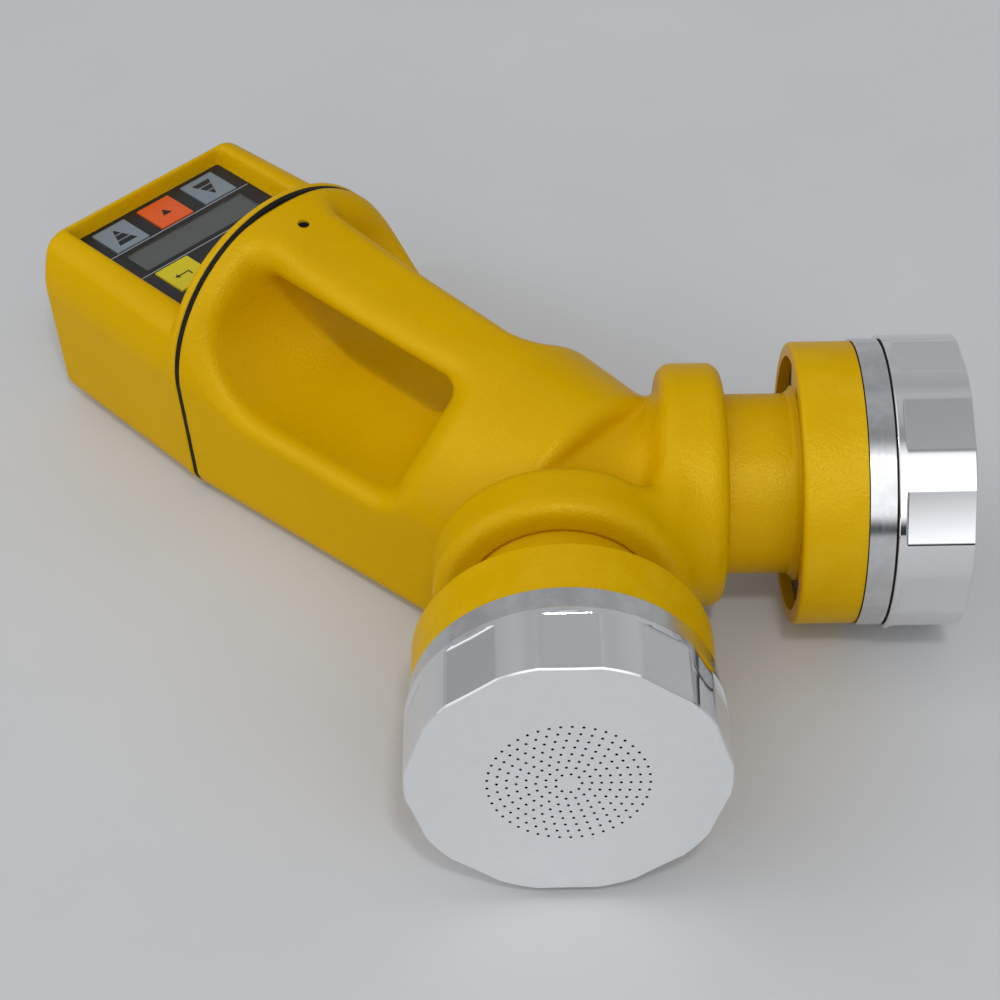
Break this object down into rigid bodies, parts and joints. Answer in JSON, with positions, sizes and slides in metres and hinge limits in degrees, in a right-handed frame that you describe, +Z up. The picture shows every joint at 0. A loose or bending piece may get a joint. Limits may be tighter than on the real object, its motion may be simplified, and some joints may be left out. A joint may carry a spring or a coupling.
{
  "type": "portable dual-head air sampler",
  "caption": "Hand-held air sampler with two perforated fluted steel heads set at right angles on a yellow casing with a carry handle and a rear keypad.",
  "frame": {"origin": "centre of the footprint, on the surface the flat base stands on", "axes": "+Z up, the keypad housing towards +Y, the two sampling heads towards -Y, 45 degrees to the left (-X) and right (+X)"},
  "size_m": [0.271, 0.3625, 0.11],
  "materials": {
    "casing_paint": "yellow semi-gloss paint with a fine orange-peel texture on a moulded shell",
    "gasket_rubber": "black moulded rubber",
    "seal_rubber": "black rubber ring",
    "overlay_black": "black satin membrane sheet with thin light-grey lines",
    "display_pane": "clear flat pane",
    "display_grey": "grey-green liquid-crystal panel",
    "start_key_orange": "orange key cap",
    "enter_key_yellow": "lemon-yellow key cap",
    "arrow_key_grey": "blue-grey key cap",
    "board_green": "green circuit board",
    "switch_black": "black switch bodies",
    "screw_steel": "zinc-plated steel",
    "battery_wrap": "shrink-wrapped cells",
    "inlet_black": "black moulded inlet",
    "bush_brass": "machined brass",
    "motor_steel": "plated steel can and ground shaft",
    "plate_aluminium": "machined aluminium",
    "screen_steel": "dark woven steel mesh",
    "fan_black": "black moulded impeller",
    "holder_steel": "satin turned stainless steel",
    "cap_steel": "stainless steel, polished fluted side and satin front face"
  },
  "bodies": {
    "casing": {"front_body": "casing_paint", "rear_housing": "casing_paint", "housing_gasket": "gasket_rubber", "keypad_overlay": "overlay_black", "display_window_pane": "display_pane", "control_board": "board_green", "display_module": "display_grey", "key_switches": "switch_black", "board_screws": "screw_steel", "battery_pack": "battery_wrap", "charging_inlet": "inlet_black", "rear_feet": "gasket_rubber", "handle_screw": "screw_steel", "base_screws": "screw_steel", "tripod_bush": "bush_brass", "left_head_shell": "casing_paint", "left_motor_plate": "plate_aluminium", "left_motor_screws": "screw_steel", "left_motor": "motor_steel", "left_vent_screen": "screen_steel", "left_ring_seal": "seal_rubber", "left_plate_holder": "holder_steel", "left_plate_clips": "holder_steel", "right_head_shell": "casing_paint", "right_motor_plate": "plate_aluminium", "right_motor_screws": "screw_steel", "right_motor": "motor_steel", "right_vent_screen": "screen_steel", "right_ring_seal": "seal_rubber", "right_plate_holder": "holder_steel", "right_plate_clips": "holder_steel"},
    "start_key": {"start_key": "start_key_orange"},
    "enter_key": {"enter_key": "enter_key_yellow"},
    "up_key": {"up_key": "arrow_key_grey"},
    "down_key": {"down_key": "arrow_key_grey"},
    "left_fan": {"left_impeller": "fan_black", "left_motor_shaft": "motor_steel"},
    "left_cap_ring": {"left_cap_seal": "seal_rubber"},
    "left_cap": {"left_cap": "cap_steel"},
    "right_fan": {"right_impeller": "fan_black", "right_motor_shaft": "motor_steel"},
    "right_cap_ring": {"right_cap_seal": "seal_rubber"},
    "right_cap": {"right_cap": "cap_steel"}
  },
  "joints": [
    {"name": "start_key_press", "type": "slide", "parent": "casing", "child": "start_key", "axis": [0, 0, -1], "range_m": [0, 0.0005], "stiffness_N_per_m": 2000, "springref_m": -0.0005},
    {"name": "enter_key_press", "type": "slide", "parent": "casing", "child": "enter_key", "axis": [0, 0, -1], "range_m": [0, 0.0005], "stiffness_N_per_m": 2000, "springref_m": -0.0005},
    {"name": "up_key_press", "type": "slide", "parent": "casing", "child": "up_key", "axis": [0, 0, -1], "range_m": [0, 0.0005], "stiffness_N_per_m": 2000, "springref_m": -0.0005},
    {"name": "down_key_press", "type": "slide", "parent": "casing", "child": "down_key", "axis": [0, 0, -1], "range_m": [0, 0.0005], "stiffness_N_per_m": 2000, "springref_m": -0.0005},
    {"name": "left_fan_spin", "type": "hinge", "parent": "casing", "child": "left_fan", "pos_m": [0, -0.0456, 0.055], "axis": [-0.7071, -0.7071, 0], "continuous": true},
    {"name": "left_cap_turn", "type": "hinge", "parent": "casing", "child": "left_cap_ring", "pos_m": [0, -0.0456, 0.055], "axis": [-0.7071, -0.7071, 0], "range_deg": [0, 45]},
    {"name": "left_cap_off", "type": "slide", "parent": "left_cap_ring", "child": "left_cap", "axis": [-0.7071, -0.7071, 0], "range_m": [0, 0.05]},
    {"name": "right_fan_spin", "type": "hinge", "parent": "casing", "child": "right_fan", "pos_m": [0, -0.0456, 0.055], "axis": [0.7071, -0.7071, 0], "continuous": true},
    {"name": "right_cap_turn", "type": "hinge", "parent": "casing", "child": "right_cap_ring", "pos_m": [0, -0.0456, 0.055], "axis": [0.7071, -0.7071, 0], "range_deg": [0, 45]},
    {"name": "right_cap_off", "type": "slide", "parent": "right_cap_ring", "child": "right_cap", "axis": [0.7071, -0.7071, 0], "range_m": [0, 0.05]}
  ]
}
